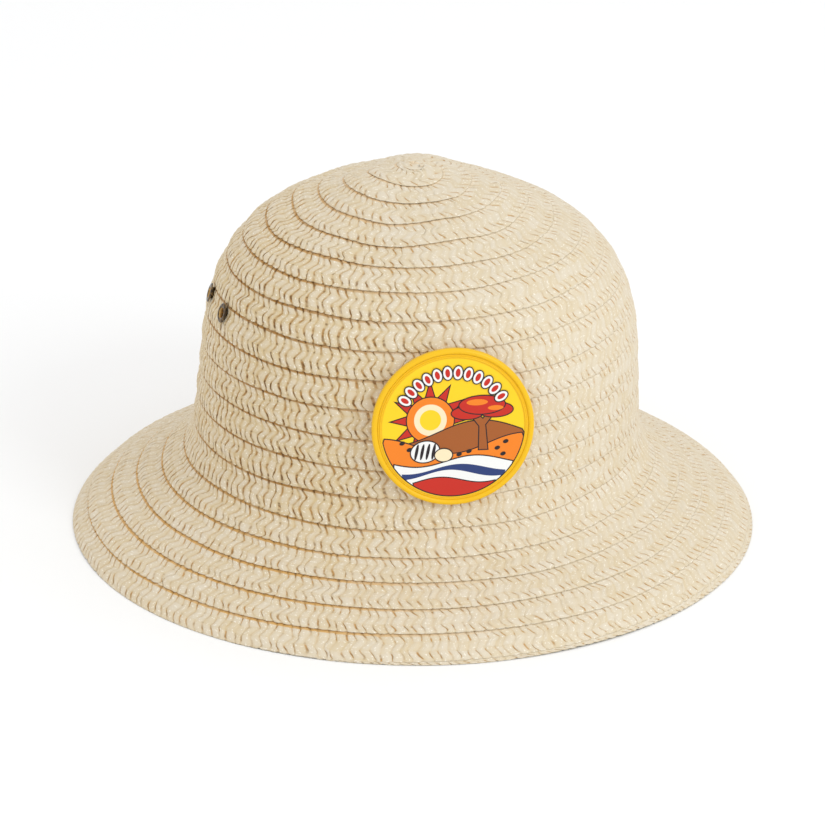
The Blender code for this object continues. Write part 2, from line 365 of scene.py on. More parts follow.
# %% The coil's path
def side_view_curve():
    """The side view as a curve object that the tree samples by length."""
    curve = bpy.data.curves.new("side view", "CURVE")
    curve.dimensions = "3D"
    spline = curve.splines.new("POLY")
    spline.points.add(len(SIDE_VIEW) - 1)
    for point, place in zip(spline.points, SIDE_VIEW):
        point.co = (place.x, 0.0, place.y, 1.0)
    made = bpy.data.objects.new("side_view_guide", curve)
    bpy.context.scene.collection.objects.link(made)
    return made


def sampled(tree, curve, mode, place, output, attribute=None):
    """What a curve has at a place along it: its position, its tangent, or an attribute."""
    settings = {"mode": mode, "use_all_curves": True, "data_type": "FLOAT"}
    inputs = {"Curves": curve, mode.title(): place, "Value": attribute}
    return tree.node("GeometryNodeSampleCurve", settings, inputs, output)


def angle_at(size, turn):
    return size["Start Angle"] - turn * (2 * math.pi)


def coil_path(tree, size, side):
    """The coil's middle line, as a curve that knows its turn at every point."""
    number = tree.node("GeometryNodeInputIndex")
    turn = number / (PATH_POINTS - 1.0) * (size["Turns"] + 1.0)
    middle = (turn - 0.5).at_least(turn * 0.5).at_most(size["Turns"]) * size["Row Pitch"]
    place = tree.split(sampled(tree, side, "LENGTH", middle, "Position"))
    angle = angle_at(size, turn)
    spot = tree.vector(place[0] * angle.cos(), place[0] * angle.sin(), place[2])
    line = tree.node("GeometryNodeMeshLine", None, {"Count": PATH_POINTS}, "Mesh")
    line = tree.node(
        "GeometryNodeStoreNamedAttribute",
        {"data_type": "FLOAT"},
        {"Geometry": line, "Name": "turn", "Value": turn},
    )
    line = tree.node("GeometryNodeSetPosition", None, {"Geometry": line, "Position": spot})
    return tree.node("GeometryNodeMeshToCurve", None, {"Mesh": line})


print("coil path:", PATH_POINTS, "points from the tip to the edge")

# %% [markdown]
# ## From a tube to a plait
#
# A closed tube has an outside and an inside from the start, so the finished braid has no open edges. Each
# of its points gets three numbers: a turn along the coil, a distance down the side view, and a height out
# of it. The small functions below work these out, and the tree puts them together.


# %% Where each point of the tube lies
def tube_places(tree, size):
    """Each point's strand, its share of the way across the plait, and 1 where it is on the inner side.

    The tube's points are numbered ring by ring, and each ring goes out over the plait and back under it.
    """
    index = tree.node("GeometryNodeInputIndex")
    ring = (index / float(POINTS_ROUND) + 0.001).floor()
    round_share = (index - ring * float(POINTS_ROUND)) / float(POINTS_ROUND)
    inner = round_share.over(OUTER_SHARE)
    outer_run = round_share / OUTER_SHARE
    inner_run = 1.0 - (round_share - OUTER_SHARE) / (1.0 - OUTER_SHARE)
    run = outer_run * (1.0 - inner) + inner_run * inner
    close_at_edges = 0.5 - (run * math.pi).cos() * 0.5
    strand = size["First Strand"] + ring / float(RINGS_PER_STRAND)
    return strand, close_at_edges * 0.6 + run * 0.4, inner


def slip_along(tree, strand, across, bend, uneven):
    """How many strands a point is moved along the plait: sheared by the zigzag, and a little uneven."""
    corners = bend.wave(1.0) - 0.5
    curves = (bend * math.pi).cos() * -0.5
    wobble = tree.noise(strand * 0.5, across * 3.2, 3.0)
    swing = 0.30 + tree.line_noise(strand * 0.23 + 19.0) * 0.5
    return (corners * 0.6 + curves * 0.4) * swing + (uneven - 0.5) * 0.5 + (wobble - 0.5) * 1.15


def sway_at(tree, turn):
    """How far a row's lower edge wanders. The next row is sewn along it and wanders with it."""
    wander = tree.line_noise(turn * 9.0) + tree.line_noise(turn * 3.1 + 40.0) * 1.2 - 1.1
    return wander * SWAY * turn.rise(0.8, 2.0)


def row_edges(size, turn):
    """How far down the side view a row's upper edge and its lower one lie."""
    upper = ((turn - 1.0) * size["Row Pitch"] - size["Row Lap"]).at_least(0.0)
    lower = (turn * size["Row Pitch"]).at_least(TIP_ROW_WIDTH).at_most(size["Turns"] * size["Row Pitch"])
    return upper, lower


print("a ring every", STRAND_PITCH / RINGS_PER_STRAND * 1000, "mm of plait")


# %% How thick the plait is
def band_height(size, across, turn, inner):
    """The height of the bare band over the side view: rounded at its edges, and lapped on the last row."""
    middle_out = abs(across * 2.0 - 1.0)
    half = size["Thickness"] * 0.5 * (1.0 - middle_out**7.0).at_least(0.0).sqrt()
    pressed = angle_at(size, turn).cos().rise(0.1, 0.9)
    lean = (across - LEAN_PIVOT) * LEAN * size["Thickness"] * turn.rise(0.9, 2.6) * (1.0 - pressed * 0.5)
    return lean - size["Thickness"] * SINK + (1.0 - inner * 2.0) * half


def strand_height(size, across, turn, bend, uneven, ridge):
    """How far the strands stand out of the band. They are pressed flatter on the wearer's left."""
    pressed = angle_at(size, turn).cos().rise(0.1, 0.9)
    edge = across.rise(0.985, 0.86) * across.rise(0.02, 0.16)
    swell = 0.5 + abs((bend * math.pi).sin()) * 0.5
    full = (ridge * swell - 0.5) * size["Relief"] * (0.6 + uneven * 0.8)
    return full * (0.35 + edge * 0.65) * (1.0 - pressed * 0.5)


print(f"plait: {BRAID_THICKNESS * 1000} mm thick, strands {RELIEF * 1000} mm high")


# %% The braid's Geometry Nodes tree
BRAID_INPUTS = {
    "Side View": "NodeSocketObject",
    "Material": "NodeSocketMaterial",
    "First Strand": "NodeSocketInt",
    "Last Strand": "NodeSocketInt",
    "Strands": "NodeSocketInt",
    "Turns": "NodeSocketFloat",
    "Row Pitch": "NodeSocketFloat",
    "Row Lap": "NodeSocketFloat",
    "Thickness": "NodeSocketFloat",
    "Relief": "NodeSocketFloat",
    "Start Angle": "NodeSocketFloat",
}


def braid_tree():
    """Builds the tree. Its inputs are the braid's sizes and which strands of the whole coil to make."""
    group = bpy.data.node_groups.new("coiled braid", "GeometryNodeTree")
    group.interface.new_socket("Geometry", in_out="INPUT", socket_type="NodeSocketGeometry")
    for name, kind in BRAID_INPUTS.items():
        group.interface.new_socket(name, in_out="INPUT", socket_type=kind)
    group.interface.new_socket("Geometry", in_out="OUTPUT", socket_type="NodeSocketGeometry")
    tree = Tree(group)
    given = tree.node("NodeGroupInput", output=None)
    size = {s.name: Value(tree, s) for s in given.outputs}

    side = tree.node("GeometryNodeObjectInfo", None, {"Object": size["Side View"]}, "Geometry")
    path = coil_path(tree, size, side)
    rings = (size["Last Strand"] - size["First Strand"]) * RINGS_PER_STRAND
    tube = tree.node(
        "GeometryNodeMeshCylinder",
        {"fill_type": "NGON"},
        {"Vertices": POINTS_ROUND, "Side Segments": rings, "Radius": 1.0, "Depth": 1.0},
        "Mesh",
    )

    # Along the plait: the turn of the coil at which the point lies.
    strand, across, inner = tube_places(tree, size)
    bend, uneven, shut = plait_pattern(tree, strand, across)
    slip = slip_along(tree, strand, across, bend, uneven)
    stored = tree.node("GeometryNodeInputNamedAttribute", {"data_type": "FLOAT"}, {"Name": "turn"})
    share = ((strand + slip) / size["Strands"]).clamped()
    turn = sampled(tree, path, "FACTOR", share, "Value", stored)

    # Across the plait: the distance from the tip, between the row's upper edge and its lower one.
    upper, lower = row_edges(size, turn)
    ridge = ((strand.fract() * math.pi).sin().at_least(0.0) ** 0.7).at_least(shut * 0.7)
    scallop = (1.0 - ridge) * across.rise(0.86, 1.0) * SCALLOP * turn.rise(1.0, 3.0)
    sway = sway_at(tree, turn) * across + sway_at(tree, turn - 1.0) * (1.0 - across)
    distance = (upper + (lower - upper) * across - scallop + sway).at_least(0.0)

    # Out of the side view: the lapped band, the strands on it, and the gathered tip.
    width_share = ((lower - upper) / size["Row Pitch"]).clamped()
    relief = strand_height(size, across, turn, bend, uneven, ridge) * (1.0 - inner * 2.0) * width_share
    tip = distance.rise(TIP_REACH, 0.0) * TIP_RISE + turn.rise(1.5, 0.8) * TIP_END_RISE
    lift = tip + band_height(size, across, turn, inner) + relief

    spot = tree.split(sampled(tree, side, "LENGTH", distance, "Position"))
    slope = tree.split(sampled(tree, side, "LENGTH", distance, "Tangent"))
    out = (spot[0] - slope[2] * lift).at_least(0.0)
    angle = angle_at(size, turn)
    spot = tree.vector(out * angle.cos(), out * angle.sin(), spot[2] + slope[0] * lift)
    braid = tree.node("GeometryNodeSetPosition", None, {"Geometry": tube, "Position": spot})
    weave = tree.node(
        "GeometryNodeFieldOnDomain",
        {"data_type": "FLOAT_VECTOR", "domain": "POINT"},
        {"Value": tree.vector(strand, across)},
    )
    braid = tree.node(
        "GeometryNodeStoreNamedAttribute",
        {"data_type": "FLOAT2", "domain": "CORNER"},
        {"Geometry": braid, "Name": "weave", "Value": weave},
    )
    braid = tree.node("GeometryNodeRealizeInstances", None, {"Geometry": braid})
    braid = tree.node("GeometryNodeSetShadeSmooth", None, {"Geometry": braid})
    braid = tree.node("GeometryNodeSetMaterial", None, {"Geometry": braid, "Material": size["Material"]})
    tree.node("NodeGroupOutput", None, {"Geometry": braid}, None)
    return group


BRAID_TREE = braid_tree()
print(f"braid tree: {len(BRAID_TREE.nodes)} nodes")

# %% [markdown]
# ## The straw's finish
#
# Paper straw is cream, matt and a little fibrous. Painted shade makes it warmer and darker where it dips
# between strands, in the pinholes and along the seams, most on the side turned from the light, and its
# small pale flecks are partly painted highlight. The finish reads the braid's own coordinates, the strand's
# number along the plait and the share of the way across it. So each dip, seam and pinhole lies on the shape
# that it belongs to, whatever way the row runs.


# %% Colours of the straw
STRAW_PALE = (0.705, 0.62, 0.485, 1.0)
STRAW_WARM = (0.64, 0.50, 0.285, 1.0)
# Painted shade: the groove, pinhole, lit-side groove and seam colours. Painted light: the pale seam colour
# on the lit side. The fleck colour is partly fibre and partly painted highlight.
STRAW_GROOVE_SHADE = (0.40, 0.20, 0.048, 1.0)
STRAW_PINHOLE_SHADE = (0.15, 0.065, 0.015, 1.0)
STRAW_LIT_GROOVE_SHADE = (0.52, 0.26, 0.06, 1.0)
STRAW_SEAM_SHADE = (0.76, 0.46, 0.16, 1.0)
STRAW_SEAM_PAINTED_LIGHT = (0.82, 0.72, 0.56, 1.0)
STRAW_FLECK_AND_HIGHLIGHT = (0.88, 0.82, 0.70, 1.0)


def new_material(name):
    """A node material, its tree, and its Principled shader."""
    made = bpy.data.materials.new(name)
    made.use_nodes = True
    return made, Tree(made.node_tree), made.node_tree.nodes["Principled BSDF"]


def mixed(tree, share, first, second):
    """A colour between two colours."""
    colours = {"Factor": share, "A": first, "B": second}
    return tree.node("ShaderNodeMix", {"data_type": "RGBA"}, colours, "Result")


print("straw is between", STRAW_PALE[:3], "and", STRAW_WARM[:3])


# %% Painted shade: the side turned from the light, grooves, pinholes and seams
def painted_side_shade(tree):
    """How much painted shade a point gets, and how far it lies on the side turned from the light.

    The light falls from the wearer's left and from above, so the painted shade is weakest on that side and
    at the top, and the brim gets only a little of it.
    """
    place = tree.split(tree.node("ShaderNodeTexCoord", output="Object"))
    unlit_side = 1.0 - place[0].rise(-0.06, 0.055)
    painted_shade = (unlit_side - place[2].rise(0.10, 0.14) * 0.6).clamped()
    return painted_shade * (0.25 + place[2].rise(0.012, 0.05) * 0.75), unlit_side


def groove_shade_mask(tree, strand, across, bend, shut, depth, painted_shade):
    """Painted shade in the dips between strands. On the side facing the light it shows only on every second
    leg of the zigzag.
    """
    side = abs(strand.fract() - 0.5) * 2.0
    corner = abs(bend.fract() - 0.5) * 2.0
    kept = tree.noise(strand * 0.33, across * 0.8, 13.0).rise(0.28, 0.50)
    # clear is 1 on the side facing the light, where the painted shade thins to dashes.
    clear = 1.0 - painted_shade
    dash = (bend * 0.5).fract().over(0.5) * corner.rise(0.95, 0.6)
    shown = painted_shade + clear * dash
    open_part = 1.0 - shut * 0.75
    deep_part = (0.12 + clear * 0.4 + depth).clamped()
    groove = (side - clear * 0.12).rise(0.66, 0.86) * deep_part * (0.35 + kept.at_least(clear) * 0.65)
    return groove * shown * open_part


def pinhole_shade_mask(tree, strand, across, bend, depth, painted_shade):
    """Painted shade for pinholes where strands cross, mostly near a row's edges, and strongest on the side
    turned from the light.
    """
    side = abs(strand.fract() - 0.5) * 2.0
    corner = abs(bend.fract() - 0.5) * 2.0
    rows = (across.rise(0.70, 0.80) * across.rise(0.94, 0.88) + across.rise(0.32, 0.24)).clamped()
    spots = (rows + corner.rise(0.70, 0.95) * depth * 0.8).clamped()
    chance = tree.noise(strand * 1.7, across * 6.0, 17.0).rise(0.40, 0.52)
    return side.rise(0.68, 0.92) * spots * depth * chance * (0.15 + painted_shade * 0.85)


def seam_shade_mask(tree, across):
    """Painted shade where a row comes out from under the next, in the shadow of its edge: wide outside the
    hat, thin inside.
    """
    normal = tree.split(tree.node("ShaderNodeNewGeometry", output="Normal"))
    place = tree.split(tree.node("ShaderNodeTexCoord", output="Object"))
    outer = (normal[0] * place[0] + normal[1] * place[1] + normal[2] * 0.05).over(0.0)
    return across.rise(0.245, 0.222) * outer + across.rise(0.04, 0.01) * (1.0 - outer)


print("straw masks: stain, groove, hole, seam")


# %% Straw material
def straw_material():
    made, tree, shader = new_material("paper straw")
    strand, across, _ = tree.split(tree.node("ShaderNodeUVMap", {"uv_map": "weave"}))
    bend, _, shut = plait_pattern(tree, strand, across)
    side = abs(strand.fract() - 0.5) * 2.0
    corner = abs(bend.fract() - 0.5) * 2.0

    # Each leg of a strand has a tone of its own, and fibres run along it. The pale flecks on the strands'
    # crowns are partly fibre and partly painted highlight.
    fibres = tree.noise(strand * 9.0, across * 3.0, 0.0, 3.0)
    patch = tree.noise(strand * 0.21, across * 1.2, 5.0)
    fleck_and_highlight = tree.noise(strand * 5.0, across * 16.0, 23.0).rise(0.58, 0.70) * side.rise(0.8, 0.5)
    cell = tree.vector(strand.floor(), bend.floor())
    own = tree.node("ShaderNodeTexWhiteNoise", {"noise_dimensions": "3D"}, {"Vector": cell}, 0)

    # Painted shade, strongest on the crown's side turned from the light.
    painted_shade, unlit_side = painted_side_shade(tree)
    depth = tree.noise(strand * 0.9, across * 4.0, 9.0).rise(0.24, 0.56)
    groove = groove_shade_mask(tree, strand, across, bend, shut, depth, painted_shade)
    hole = pinhole_shade_mask(tree, strand, across, bend, depth, painted_shade)
    # Painted shade: the tone warms towards the grooves and the zigzag's corners, and over the whole side
    # turned from the light.
    shade = side.rise(0.10, 1.0) * 0.45 + corner.rise(0.5, 1.0) * 0.25
    tone = own * 0.4 + fibres * 0.5 + patch * 0.35 + shade * (0.4 + painted_shade * 0.7) + painted_shade * 0.3

    colour = mixed(tree, (tone - 0.48).clamped(), STRAW_PALE, STRAW_WARM)
    # Pale flecks: partly fibre, partly painted highlight.
    colour = mixed(tree, fleck_and_highlight * 0.85, colour, STRAW_FLECK_AND_HIGHLIGHT)
    # Painted shade in the grooves, darker on the side turned from the light.
    colour = mixed(tree, groove * 0.88, colour, mixed(tree, painted_shade, STRAW_LIT_GROOVE_SHADE, STRAW_GROOVE_SHADE))
    # The seam's colour: painted shade on the side turned from the light, and on the lit side a pale painted
    # light that cancels the shadow under the lapped edge.
    seam = mixed(tree, unlit_side, STRAW_SEAM_PAINTED_LIGHT, mixed(tree, painted_shade, STRAW_SEAM_SHADE, STRAW_GROOVE_SHADE))
    seam_share = seam_shade_mask(tree, across) * (0.25 + unlit_side * (0.35 + depth * 0.4))
    colour = mixed(tree, seam_share, colour, seam)
    # Painted shade in the pinholes.
    colour = mixed(tree, hole * 0.9, colour, STRAW_PINHOLE_SHADE)
    height = fibres * 0.45 + (own * 0.25 - shade * 0.8) * (0.3 + painted_shade * 0.7) - groove * 0.5 - hole * 0.8
    bump = tree.node("ShaderNodeBump", None, {"Strength": 0.7, "Distance": 0.0005, "Height": height})
    tree.links.new(colour.socket, shader.inputs["Base Color"])
    tree.links.new((0.50 + fibres * 0.25).socket, shader.inputs["Roughness"])
    tree.links.new(bump.socket, shader.inputs["Normal"])
    shader.inputs["Specular IOR Level"].default_value = 0.3
    return made


STRAW = straw_material()
print("straw material:", len(STRAW.node_tree.nodes), "nodes")

# %% [markdown]
# ## Coiling the hat
#
# The real hat is one coil. A piece past 200,000 triangles would be thinned when it is exported, so here
# the coil is made in runs of strands, end to end. Two runs make the crown and two the brim, which starts
# where the rows of the real hat turn outwards. The tree's inputs say which strands a run has, so one tree
# makes all four, and their ends meet.


# %% Coil the crown and the brim
def braid_run(name, first, last, guide):
    """One run of the coil as a plain closed mesh on the block."""
    holder = bpy.data.objects.new(name, bpy.data.meshes.new(name))
    bpy.context.scene.collection.objects.link(holder)
    modifier = holder.modifiers.new("braid", "NODES")
    modifier.node_group = BRAID_TREE
    chosen = {
        "Side View": guide,
        "Material": STRAW,
        "First Strand": first,
        "Last Strand": last,
        "Strands": STRANDS,
        "Turns": TURNS,
        "Row Pitch": ROW_PITCH,
        "Row Lap": ROW_LAP,
        "Thickness": BRAID_THICKNESS,
        "Relief": RELIEF,
        "Start Angle": START_ANGLE,
    }
    for item in BRAID_TREE.interface.items_tree:
        if item.in_out == "INPUT" and item.name in chosen:
            modifier[item.identifier] = chosen[item.name]
    depsgraph = bpy.context.evaluated_depsgraph_get()
    mesh = bpy.data.meshes.new_from_object(holder.evaluated_get(depsgraph))
    holder.modifiers.clear()
    holder.data = mesh
    places = np.empty(len(mesh.vertices) * 3, dtype=np.float32)
    mesh.vertices.foreach_get("co", places)
    moved = on_block(places.reshape(-1, 3).astype(float))
    mesh.vertices.foreach_set("co", moved.astype(np.float32).ravel())
    mesh.materials.clear()
    mesh.materials.append(STRAW)
    mesh.polygons.foreach_set("material_index", np.zeros(len(mesh.polygons), dtype=np.int32))
    mesh.update()
    triangles = sum(len(p.vertices) - 2 for p in mesh.polygons)
    print(f"{name}: {len(mesh.vertices)} points, {triangles} triangles")
    return holder


def strand_at_turn(turn):
    return round(STRANDS * braid_length(0.0, turn) / braid_length(0.0, TURNS + 1))


ROWS_IN_BRIM = 5
SEAM_TURN = TURNS - ROWS_IN_BRIM
RUN_ENDS = (
    {"name": "crown_top_braid", "node": "crown", "end": 9.5},
    {"name": "crown_side_braid", "node": "crown", "end": SEAM_TURN},
    {"name": "brim_inner_braid", "node": "brim", "end": SEAM_TURN + 3.0},
    {"name": "brim_outer_braid", "node": "brim", "end": TURNS + 1},
)
guide = side_view_curve()
start = 0
for run in RUN_ENDS:
    end = strand_at_turn(run["end"])
    piece = braid_run(run["name"], start, end, guide)
    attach(piece, "root")
    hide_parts(run["node"])
    start = end
bpy.data.objects.remove(guide, do_unlink=True)

# %% [markdown]
# ## Standing new pieces on old ones
#
# The badge and the eyelets have their places in the frame already. Each lies flat against the straw, so
# the direction in which its points spread least is the way it faces. That gives a little coordinate system
# on the node's back, in which its visible piece can be drawn lying flat and then stood in place.


# %% Place of a node
MERGE_DISTANCE = 0.00001
SHARP_ANGLE = math.radians(50)


def place_on(node):
    """The middle of a flat node's back, as a matrix with +Z out of the straw and +Y up along it."""
    cad = bpy.data.objects[node]
    points = np.array([tuple(cad.matrix_world @ v.co) for v in cad.data.vertices])
    middle = points.mean(axis=0)
    facing = Vector(np.linalg.svd(points - middle, full_matrices=False)[2][2])
    if facing.dot(Vector((middle[0], middle[1], 0.0))) < 0:
        facing.negate()
    level = Vector((0, 0, 1)).cross(facing).normalized()
    axes = Matrix((level, facing.cross(level), facing)).transposed()
    local = points @ np.array(axes)
    low, high = local.min(axis=0), local.max(axis=0)
    origin = axes @ Vector(((low[0] + high[0]) / 2, (low[1] + high[1]) / 2, low[2]))
    print(f"{node}: {(high - low) * 1000} mm, facing {tuple(round(v, 3) for v in facing)}")
    return Matrix.Translation(origin) @ axes.to_4x4()


def stood(name, mesh, place, materials, node):
    """Makes one finished piece: its place goes into its mesh, and it stands for its node."""
    mesh.transform(place)
    for material in materials:
        mesh.materials.append(material)
    made = bpy.data.objects.new(name, mesh)
    bpy.context.scene.collection.objects.link(made)
    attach(made, "root")
    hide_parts(node)


def turned_mesh(name, outline, steps, closed):
    """A profile of (out, up) points turned round +Z, as a plain smooth mesh."""
    shape = bmesh.new()
    corners = [shape.verts.new((out, 0.0, up)) for out, up in outline]
    for pair in zip(corners, corners[1:]):
        shape.edges.new(pair)
    if closed:
        shape.edges.new((corners[-1], corners[0]))
    flat = bpy.data.meshes.new(name)
    shape.to_mesh(flat)
    shape.free()
    holder = bpy.data.objects.new(name, flat)
    bpy.context.scene.collection.objects.link(holder)
    screw = holder.modifiers.new("turn", "SCREW")
    screw.angle = 2 * math.pi
    screw.steps = steps
    screw.render_steps = steps
    screw.use_merge_vertices = True
    screw.merge_threshold = MERGE_DISTANCE
    mesh = bpy.data.meshes.new_from_object(holder.evaluated_get(bpy.context.evaluated_depsgraph_get()))
    bpy.data.objects.remove(holder, do_unlink=True)
    mesh.shade_smooth()
    mesh.set_sharp_from_angle(angle=SHARP_ANGLE)
    return mesh


def arc(centre, radius, start, end, steps):
    """Points along an arc, from start to end in degrees."""
    turns = [math.radians(start + (end - start) * i / steps) for i in range(steps + 1)]
    return [(centre[0] + radius * math.cos(t), centre[1] + radius * math.sin(t)) for t in turns]


# %% [markdown]
# ## Eyelets
#
# A brass eyelet is a short tube whose ends are rolled over by a punch. Seen from outside it is a rounded
# ring round a small hole. It is turned from one closed outline, with real rounds where the metal is rolled.
# The bore's edge is painted bright, partly as wear from fingers and thread and partly as a painted
# highlight, so each point stores how much of that it gets.

# %% Eyelets
EYELET_FLANGE = 0.0076
EYELET_BORE = 0.0036
EYELET_LENGTH = 0.0044
EYELET_WALL = 0.0005
ROLL_WIDTH = (EYELET_FLANGE - EYELET_BORE) / 4
ROLL_HEIGHT = ROLL_WIDTH * 0.62
BRASS_DARK = (0.030, 0.018, 0.009, 1.0)
BRASS_BRIGHT = (0.55, 0.34, 0.12, 1.0)


def brass_material():
    made, tree, shader = new_material("antique brass")
    where = tree.node("ShaderNodeTexCoord", output="Object")
    patch = tree.node("ShaderNodeTexNoise", None, {"Vector": where, "Scale": 900.0, "Detail": 3.0}, 0)
    # Bright brass at the bore's edge: partly wear, partly painted highlight.
    worn_and_highlight = tree.node("ShaderNodeAttribute", {"attribute_name": "worn_and_highlight"}, None, "Fac")
    share = (patch.rise(0.42, 0.66) * 0.3 + worn_and_highlight * 0.8).clamped()
    colour = mixed(tree, share, BRASS_DARK, BRASS_BRIGHT)
    tree.links.new(colour.socket, shader.inputs["Base Color"])
    tree.links.new((0.22 + share * 0.2).socket, shader.inputs["Roughness"])
    tree.links.new((0.35 + share * 0.65).clamped().socket, shader.inputs["Metallic"])
    shader.inputs["Specular IOR Level"].default_value = 0.25
    return made


def rolled_end(up, start, end):
    """The metal rolled over at one end of the tube: most of an ellipse, as (out, up) points."""
    middle = EYELET_BORE / 2 + ROLL_WIDTH
    round_arc = arc((0.0, 0.0), 1.0, start, end, 10)
    return [(middle + x * ROLL_WIDTH, up + y * ROLL_HEIGHT) for x, y in round_arc]


def eyelet_mesh():
    """Outer roll, down the tube's outside, inner roll, and back up the bore."""
    top = rolled_end(EYELET_LENGTH - ROLL_HEIGHT, 170, 10)
    bottom = rolled_end(ROLL_HEIGHT, -10, -170)
    barrel = EYELET_BORE / 2 + EYELET_WALL
    outside = [(barrel, EYELET_LENGTH - ROLL_HEIGHT * 1.3), (barrel, ROLL_HEIGHT * 1.3)]
    mesh = turned_mesh("eyelet", [*top, *outside, *bottom], 40, closed=True)
    # How much bright brass each point gets at the bore's edge: partly wear, partly painted highlight.
    worn_and_highlight = mesh.attributes.new("worn_and_highlight", "FLOAT", "POINT")
    for point, value in zip(mesh.vertices, worn_and_highlight.data):
        from_bore = (point.co.xy.length - EYELET_BORE / 2) / ROLL_WIDTH
        value.value = min(1.0, max(0.0, 1.0 - from_bore * 2))
    return mesh


BRASS = brass_material()
EYELET_NODES = sorted(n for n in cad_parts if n.startswith("eyelet"))
EYELET_PLACES = {node: place_on(node) for node in EYELET_NODES}
for node, place in EYELET_PLACES.items():
    stood(f"{node}_brass", eyelet_mesh(), place, [BRASS], node)

# %% [markdown]
# ## Holes behind the eyelets
#
# Behind each eyelet the straw is punched through. One cutter holds the four punches, and both of the
# crown's runs are cut with it, because a hole can lie on the row where one run ends and the next begins.


# %% Holes for the eyelets
PUNCH_CLEARANCE = 0.0003
PUNCH_RADIUS = EYELET_BORE / 2 + PUNCH_CLEARANCE
PUNCH_LENGTH = 0.016


def punches(places):
    """One object with a closed round punch at each place."""
    shape = bmesh.new()
    for place in places:
        bmesh.ops.create_cone(
            shape,
            cap_ends=True,
            segments=24,
            radius1=PUNCH_RADIUS,
            radius2=PUNCH_RADIUS,
            depth=PUNCH_LENGTH,
            matrix=place,
        )
    mesh = bpy.data.meshes.new("punches")
    shape.to_mesh(mesh)
    shape.free()
    made = bpy.data.objects.new("punches", mesh)
    bpy.context.scene.collection.objects.link(made)
    return made


def punch_holes(piece, punch):
    """Cuts the punches out of a piece, and leaves it a plain mesh."""
    cut = piece.modifiers.new("holes", "BOOLEAN")
    cut.operation = "DIFFERENCE"
    cut.solver = "EXACT"
    cut.object = punch
    depsgraph = bpy.context.evaluated_depsgraph_get()
    mesh = bpy.data.meshes.new_from_object(piece.evaluated_get(depsgraph))
    print(f"{piece.name}: {len(piece.data.polygons)} faces, {len(mesh.polygons)} with the holes")
    piece.modifiers.clear()
    piece.data = mesh


punch = punches(EYELET_PLACES.values())
for name in ("crown_top_braid", "crown_side_braid"):
    punch_holes(bpy.data.objects[name], punch)
bpy.data.objects.remove(punch, do_unlink=True)

# %% [markdown]
# ## The badge
#
# The badge is a moulded vinyl disc with a raised rim and a fine bead inside it. Its printed face is flat,
# so it is drawn like a cut-paper picture. Each colour is a filled outline, laid a few thousandths of a
# millimetre over the one below. Most have a dark outline, which is the same shape a little larger
# underneath. The picture is a plain savanna with a low sun, hills, a flat-topped tree and an arc of beads.

# %% Badge tray
BADGE_RADIUS = 0.030
RIM_WIDTH = 0.0022
RIM_HEIGHT = 0.0026
FACE_HEIGHT = 0.0019
BEAD_LINE_RADIUS = 0.00035
BEAD_LINE_INSET = 0.0009
BACK_CHAMFER = 0.0004


def vinyl_material(name, colour, roughness):
    """Satin vinyl: its colour drifts a little, and the skin has a faint orange peel."""
    made, tree, shader = new_material(name)
    where = tree.node("ShaderNodeTexCoord", output="Object")
    drift = tree.node("ShaderNodeTexNoise", None, {"Vector": where, "Scale": 60.0, "Detail": 2.0}, 0)
    deep = tuple(c * 0.93 for c in colour[:3]) + (1.0,)
    tree.links.new(mixed(tree, drift, colour, deep).socket, shader.inputs["Base Color"])
    peel = tree.node("ShaderNodeTexNoise", None, {"Vector": where, "Scale": 1400.0, "Detail": 2.0}, 0)
    bump = tree.node("ShaderNodeBump", None, {"Strength": 0.06, "Distance": 0.0002, "Height": peel})
    tree.links.new(bump.socket, shader.inputs["Normal"])
    tree.links.new((roughness + drift * 0.08).socket, shader.inputs["Roughness"])
    shader.inputs["Specular IOR Level"].default_value = 0.3
    return made


def tray_outline():
    """From the face's middle out over the bead and the rim, and back along the flat back."""
    inside = BADGE_RADIUS - RIM_WIDTH
    half = RIM_WIDTH / 2
    rim = arc((inside + half, RIM_HEIGHT - half), half, 180, 0, 14)
    line = arc((inside - BEAD_LINE_INSET, FACE_HEIGHT), BEAD_LINE_RADIUS, 180, 0, 8)
    back = [(BADGE_RADIUS, BACK_CHAMFER), (BADGE_RADIUS - BACK_CHAMFER, 0.0), (0.0, 0.0)]
    return [(0.0, FACE_HEIGHT), *line, (inside, FACE_HEIGHT), *rim, *back]


BADGE_PLACE = place_on("badge_tray")
RIM_YELLOW = vinyl_material("rim vinyl", (0.86, 0.50, 0.006, 1.0), 0.32)
tray_mesh = turned_mesh("badge_tray_vinyl", tray_outline(), 144, closed=False)
stood("badge_tray_vinyl", tray_mesh, BADGE_PLACE, [RIM_YELLOW], "badge_tray")

# %% Inks and cut-out shapes
PRINT_MARGIN = 0.0016
PRINT_RADIUS = BADGE_RADIUS - RIM_WIDTH - PRINT_MARGIN
INK_THICKNESS = 0.000008
OUTLINE_WIDTH = 0.00042
GROUND_LAYER = 0.5
FIRST_LAYER = 1.6
COLOUR_OVER_OUTLINE = 0.5
BEADS = 12
INKS = {
    "ground": (0.96, 0.62, 0.012, 1.0),
    "dark": (0.018, 0.012, 0.014, 1.0),
    "orange": (0.86, 0.22, 0.012, 1.0),
    "brown": (0.36, 0.10, 0.018, 1.0),
    "red": (0.56, 0.022, 0.010, 1.0),
    "cream": (0.90, 0.76, 0.50, 1.0),
    "white": (0.86, 0.86, 0.84, 1.0),
    "navy": (0.022, 0.045, 0.17, 1.0),
}
INK_MATERIALS = {ink: vinyl_material(f"{ink} ink", colour, 0.3) for ink, colour in INKS.items()}


